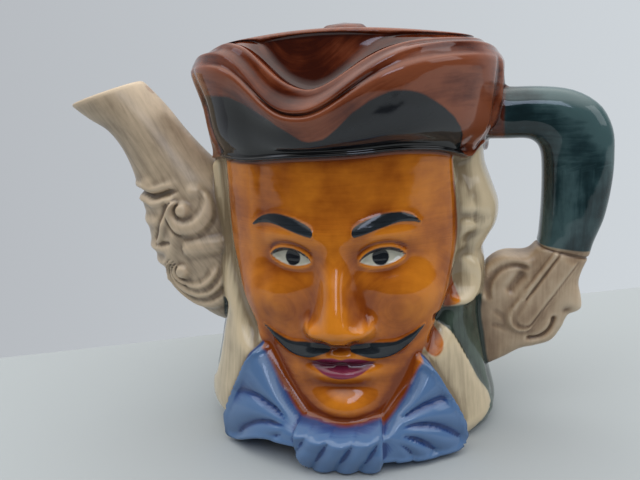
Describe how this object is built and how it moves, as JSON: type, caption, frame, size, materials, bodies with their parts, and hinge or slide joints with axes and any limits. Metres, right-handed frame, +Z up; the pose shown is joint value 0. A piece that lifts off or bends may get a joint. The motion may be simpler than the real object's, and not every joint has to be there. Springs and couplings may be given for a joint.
{
  "type": "toby teapot",
  "caption": "Glazed earthenware teapot cast as a man's head in a cocked hat, with a spout, a handle and a lift-off lid in the crown.",
  "frame": {"origin": "on the flat foot, under the middle of the head and of the lid", "axes": "+X from the axis to the handle, -X to the spout, -Y to the face, +Z up"},
  "size_m": [0.2149, 0.1195, 0.1568],
  "materials": {
    "painted_glaze": "hand-painted underglaze colours under a clear gloss glaze",
    "brown_glaze": "streaky brown gloss glaze"
  },
  "bodies": {
    "root": {"teapot_body": "painted_glaze", "lid": "brown_glaze"}
  },
  "joints": []
}
